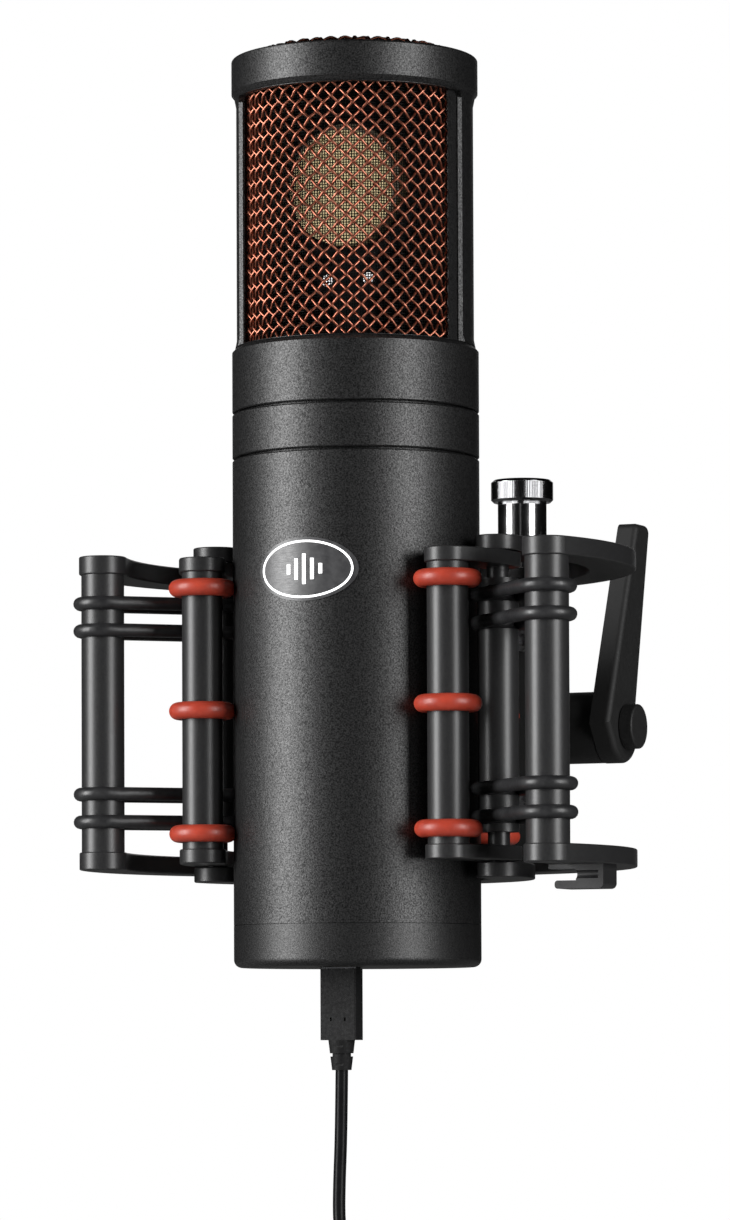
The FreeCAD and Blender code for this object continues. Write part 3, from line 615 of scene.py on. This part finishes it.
def add_wire_cloth():
    """The copper cloth's wall and crown, laid wire by wire."""
    wall_low, wall_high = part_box("head_mesh")
    crown_low, crown_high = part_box("mesh_top")
    pieces = (
        ("copper_cloth", "head_mesh", "copper", cloth_wall(wall_low.z + WIRE_R, wall_high.z)),
        # the crown's copper is darkened: painted shade
        ("copper_crown", "mesh_top", "crown_copper_painted_shade", cloth_crown(crown_high.z - WIRE_R - WAVE)),
    )
    for name, node, look, paths in pieces:
        cloth = add_mesh(name, *sweep(paths, WIRE_R, sides=6), LOOK[look])
        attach(cloth, "microphone")
        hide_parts(node)


def add_fine_cloth():
    """Straight wires and rings behind the copper, with a flat lid of the same cloth."""
    low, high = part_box("fine_mesh")
    radius = (high.x - low.x) / 2
    count = round(2 * math.pi * radius / FINE_PITCH)
    uprights = []
    for i in range(count):
        turn = 2 * math.pi * i / count
        uprights.append([on_circle(MIC, radius - FINE_WIRE_R, turn, z) for z in (low.z, high.z)])
    turns = [2 * math.pi * i / FINE_RING_STEPS for i in range(FINE_RING_STEPS)]
    rings = []
    for k in range(1, int((high.z - low.z) / FINE_PITCH)):
        z = low.z + k * FINE_PITCH
        rings.append([on_circle(MIC, radius + FINE_WIRE_R, turn, z) for turn in turns])
    lid = []
    across = int(radius / FINE_PITCH)
    for i in range(-across, across + 1):
        offset = i * FINE_PITCH
        half = math.sqrt(radius ** 2 - offset ** 2)
        lid.append([Vector((MIC.x + offset, MIC.y + s * half, high.z)) for s in (-1, 1)])
        lid.append([Vector((MIC.x + s * half, MIC.y + offset, high.z + FINE_WIRE_R)) for s in (-1, 1)])
    straight = sweep(uprights + lid, FINE_WIRE_R, sides=4)
    shape = join(straight, sweep(rings, FINE_WIRE_R, sides=4, closed=True))
    cloth = add_mesh("fine_cloth", *shape, LOOK["black_wire"])
    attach(cloth, "microphone")
    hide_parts("fine_mesh")
    cloth.visible_shadow = False


def add_rear_baffle():
    """A ribbed half shell behind the capsule, which closes the head's back."""
    low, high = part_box("fine_mesh")
    radius = (high.x - low.x) / 2 - BAFFLE_GAP
    verts, faces = [], []
    for i in range(BAFFLE_STEPS + 1):
        turn = BAFFLE_START + (BAFFLE_END - BAFFLE_START) * i / BAFFLE_STEPS
        outer = BAFFLE_WAVE * math.cos(BAFFLE_RIBS * math.pi * 2 * i / BAFFLE_STEPS)
        inner = outer - BAFFLE_THICK
        for r, z in ((outer, low.z), (outer, high.z), (inner, high.z), (inner, low.z)):
            verts.append(on_circle(MIC, radius + r, turn, z))
    for i in range(BAFFLE_STEPS):
        for s in range(4):
            t = (s + 1) % 4
            faces.append((4 * i + s, 4 * i + 4 + s, 4 * i + 4 + t, 4 * i + t))
    faces += [(0, 1, 2, 3), tuple(4 * BAFFLE_STEPS + s for s in (3, 2, 1, 0))]
    baffle = add_mesh("rear_baffle", verts, faces, LOOK["dark_plastic"])
    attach(baffle, "microphone")


# ---- badge ----
BADGE_MARGIN = 0.9 * MM                 # of the plate, outside the oval
OUTLINE_STEPS, OUTLINE_R = 96, 0.24 * MM
BARS = (1.1 * MM, 2.3 * MM, 3.3 * MM, 2.3 * MM, 1.1 * MM)       # half of each bar's height
BAR_PITCH, BAR_R = 1.9 * MM, 0.42 * MM


def on_tube(arc, height, radius):
    """A point on the body's front, arc metres round from the badge's middle."""
    return on_circle(MIC, radius, arc / radius, middle("emblem_badge").z + height)


def add_badge():
    """An oval outline round five bars of a sound level, as white lines with a painted glow."""
    low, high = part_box("emblem_badge")
    front = MIC.y - low.y
    half_w = (high.x - low.x) / 2 - BADGE_MARGIN
    half_h = (high.z - low.z) / 2 - BADGE_MARGIN
    angles = [2 * math.pi * i / OUTLINE_STEPS for i in range(OUTLINE_STEPS)]
    outline = [on_tube(half_w * math.cos(a), half_h * math.sin(a), front) for a in angles]
    bars = []
    for step, tall in enumerate(BARS):
        arc = (step - 2) * BAR_PITCH
        bars.append([on_tube(arc, tall * k / 4, front) for k in range(-4, 5)])
    shape = join(sweep([outline], OUTLINE_R, closed=True), sweep(bars, BAR_R, sides=10))
    lines = add_mesh("badge_lines", *shape, LOOK["badge_line"])
    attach(lines, "microphone")


# ---- shock mount ----
BAND_R, BAND_SECTION = 5.09 * MM, 1.5 * MM      # round a post, and of the loop's own section
BAND_HEIGHTS = {"lower": (32.7 * MM, 38.9 * MM), "upper": (75.4 * MM, 81.5 * MM)}
BAND_TURN_STEPS, BAND_STRAIGHT_STEPS, BAND_SIDES = 20, 12, 16


def band_path(outer, inner, z):
    """Round the outer post, straight across, round the inner post and back."""
    a, b = Vector((outer.x, outer.y, z)), Vector((inner.x, inner.y, z))
    along = (b - a).normalized()
    out = along.cross(UP)
    path = []
    for centre, reach in ((a, BAND_R), (b, -BAND_R)):
        for k in range(BAND_TURN_STEPS + 1):
            turn = math.pi * k / BAND_TURN_STEPS
            path.append(centre + (out * math.cos(turn) - along * math.sin(turn)) * reach)
    loop = []
    for p, after in zip(path, path[1:] + path[:1]):
        pieces = BAND_STRAIGHT_STEPS if (after - p).length > BAND_R / 2 else 1
        loop += [p.lerp(after, k / pieces) for k in range(pieces)]
    return loop


def add_bands():
    """Two elastic loops a piece, which stretch between the outer frame and the cradle."""
    for side in ("left", "right"):
        outer, inner = middle(f"outer_post_{side}"), middle(f"inner_post_{side}")
        for pair, heights in BAND_HEIGHTS.items():
            paths = [band_path(outer, inner, MIC.z + z) for z in heights]
            shape = sweep(paths, BAND_SECTION, BAND_SIDES, closed=True)
            bands = add_mesh(f"elastic_{pair}_{side}", *shape, LOOK["black_rubber"])
            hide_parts(f"bands_{pair}_{side}")
            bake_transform(bands)


# ---- USB lead ----
CORD_D = 2.8 * MM
# points of the cord's line, measured from the microphone: from the plug to the coil, and after it
LEAD_IN = [
    (0, -0.0088, -0.0227), (-0.0002, -0.0088, -0.0370), (-0.0006, -0.0091, -0.0480),
    (-0.0001, -0.0104, -0.0570), (0.0026, -0.0130, -0.0626), (0.0095, -0.0135, -0.0667),
]
TAIL = [
    (0.0110, -0.0162, -0.0890), (0.0082, -0.0163, -0.0970), (0.0044, -0.0163, -0.1050),
    (0.0012, -0.0136, -0.1120), (-0.0001, -0.0102, -0.1175), (-0.0002, -0.0093, -0.1230),
]
TURN_POINTS = 14                        # of the coil's line, per turn
LAYERS = (19.7 * MM, 16.9 * MM, 14.1 * MM, 11.3 * MM)
LAYER_TURNS, SIDE_BY_SIDE = 3.5, 3.0    # turns in a layer; past the second, it steps in to the next
FIRST_TURN = math.radians(61.2)
LAST_SWEEP = 3                          # further points after the last layer
RIDE_OUT_EARLY, RIDE_OUT_POINTS = 4, 5  # from here before its end, the cord rides out to the front
STRAP_THICK, STRAP_EDGE = 0.9 * MM, 0.25 * MM
STRAP_CORNER, STRAP_CORNER_STEPS = 2.2 * MM, 6
FAR_BOOT_TALL, FAR_BOOT_RINGS, FAR_RING_STEPS = 8.5 * MM, 3, 40
FAR_BOOT_LOW_R, FAR_BOOT_TOP_R, FAR_RING_R = 3.0 * MM, 2.2 * MM, 0.34 * MM


def coil_points():
    """The put-away length, wound in layers from the outside in, clockwise from the front."""
    centre = middle("cable_coil")
    swell = 1 / math.cos(math.pi / TURN_POINTS)
    per_layer = round(TURN_POINTS * LAYER_TURNS)
    points = []
    for i in range(1, per_layer * len(LAYERS) + LAST_SWEEP):
        layer = min(i // per_layer, len(LAYERS) - 1)
        turns = (i - layer * per_layer) / TURN_POINTS
        across = CORD_D * (min(turns, SIDE_BY_SIDE) - SIDE_BY_SIDE / 2) * (1 if layer % 2 == 0 else -1)
        radius = LAYERS[layer]
        if turns > SIDE_BY_SIDE and layer < len(LAYERS) - 1:
            radius -= CORD_D * (turns - SIDE_BY_SIDE) / (LAYER_TURNS - SIDE_BY_SIDE)
        past = i - (per_layer * len(LAYERS) - RIDE_OUT_EARLY)
        if past > 0:
            across -= min(past, RIDE_OUT_POINTS) / RIDE_OUT_POINTS * CORD_D
        a = FIRST_TURN - 2 * math.pi * i / TURN_POINTS
        out = swell * radius
        points.append(centre + Vector((out * math.cos(a), across, out * math.sin(a))))
    return points


def add_cord():
    """The whole lead: down from the plug, round the coil, and on to the far plug."""
    points = [mic(*p) for p in LEAD_IN] + coil_points() + [mic(*p) for p in TAIL]
    data = bpy.data.curves.new("usb_lead_cord", "CURVE")
    data.dimensions = "3D"
    data.bevel_depth, data.bevel_resolution = CORD_D / 2, 3
    data.resolution_u, data.use_fill_caps = 4, True
    spline = data.splines.new("NURBS")
    spline.points.add(len(points) - 1)
    for point, place in zip(spline.points, points):
        point.co = (*place, 1)
    spline.order_u = 3
    spline.use_endpoint_u = True
    data.materials.append(LOOK["cord_jacket"])
    cord = bpy.data.objects.new("usb_lead_cord", data)
    bpy.context.scene.collection.objects.link(cord)
    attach(cord, "usb_lead")
    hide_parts("usb_cable", "cable_coil")
    return cord


def add_coil_tie():
    """A hook-and-loop strap round the coil's left side."""
    low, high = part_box("coil_tie")
    centre = (low + high) / 2
    half_x = (high.x - low.x) / 2 - STRAP_THICK - STRAP_CORNER
    half_y = (high.y - low.y) / 2 - STRAP_THICK - STRAP_CORNER
    path = []
    for quarter, (sx, sy) in enumerate(((1, 1), (-1, 1), (-1, -1), (1, -1))):
        hub = centre + Vector((sx * half_x, sy * half_y, 0))
        for k in range(STRAP_CORNER_STEPS + 1):
            a = math.pi / 2 * (quarter + k / STRAP_CORNER_STEPS)
            out = Vector((math.cos(a), math.sin(a), 0))
            path.append((hub + out * STRAP_CORNER, out))
    shape = strap(path, (high.z - low.z) / 2, STRAP_THICK)
    tie = add_mesh("coil_strap", *shape, LOOK["tie_fabric"], smooth=False)
    bevel = tie.modifiers.new("soft_edges", "BEVEL")
    bevel.width, bevel.segments = STRAP_EDGE, 2
    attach(tie, "usb_lead")
    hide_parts("coil_tie")
    return tie


def add_far_boot_ribs():
    """The stepped rings of the far plug's strain relief."""
    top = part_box("far_plug")[1].z - MIC.z
    x, y, _ = TAIL[-1]
    turns = [2 * math.pi * i / FAR_RING_STEPS for i in range(FAR_RING_STEPS)]
    shape = ([], [])
    for k in range(FAR_BOOT_RINGS):
        share = (k + 0.5) / FAR_BOOT_RINGS
        z = top - FAR_BOOT_TALL * (1 - share)
        r = FAR_BOOT_LOW_R + (FAR_BOOT_TOP_R - FAR_BOOT_LOW_R) * share
        ring = [mic(x + r * math.cos(turn), y + r * math.sin(turn), z) for turn in turns]
        shape = join(shape, sweep([ring], FAR_RING_R, closed=True))
    ribs = add_mesh("far_boot_ribs", *shape, LOOK["plug_plastic"])
    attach(ribs, "usb_lead")
    return ribs


def add_usb_lead():
    """The lead, with everything that lies on it."""
    cord = add_cord()
    tie = add_coil_tie()
    far_ribs = add_far_boot_ribs()


# ---- assembly ----
add_camera()
add_world()
LOOK = {
    "mic_paint": mic_paint(), "cap_paint": mic_paint("cap_paint", 3900.0, 0.17),
    "mount_metal": mount_metal(), "swivel_black": swivel_black(), "copper": copper(),
    # the crown's copper at an eighth of the tone: painted shade on the shadowed crown
    "crown_copper_painted_shade": copper("crown_copper_painted_shade", 0.12),
    "black_wire": black_wire(), "badge_plate": badge_plate(), "badge_line": painted_glow_enamel(),
    "gold": gold_film(),
    "dark_plastic": plastic("dark_plastic", (0.002, 0.002, 0.002), 0.75, shine=0.15),
    "bright_steel": steel("bright_steel", (0.95, 0.95, 0.96), 0.3),
    # near-black steel: painted shade for the plug's shell and socket in the gap under the microphone
    "painted_shade_steel": steel("painted_shade_steel", (0.05, 0.05, 0.052), 0.4),
    "plug_plastic": plastic("plug_plastic", (0.006, 0.006, 0.0062), 0.62, shine=0.2),
    "steel": steel("steel", (0.30, 0.30, 0.31), 0.26),
    "screw_steel": steel("screw_steel", (0.36, 0.36, 0.37), 0.3),
    "board": circuit_board(), "chrome": chrome(), "red_rubber": red_rubber(),
    "black_rubber": black_rubber(), "cord_jacket": cord_jacket(), "tie_fabric": tie_fabric(),
}
dress_cad_nodes()
add_usb_lead()
add_floor()
for softbox in SOFTBOXES:
    add_softbox(*softbox)
add_wire_cloth()
add_fine_cloth()
add_rear_baffle()
add_badge()
add_bands()

bpy.context.scene.view_settings.view_transform = "Standard"
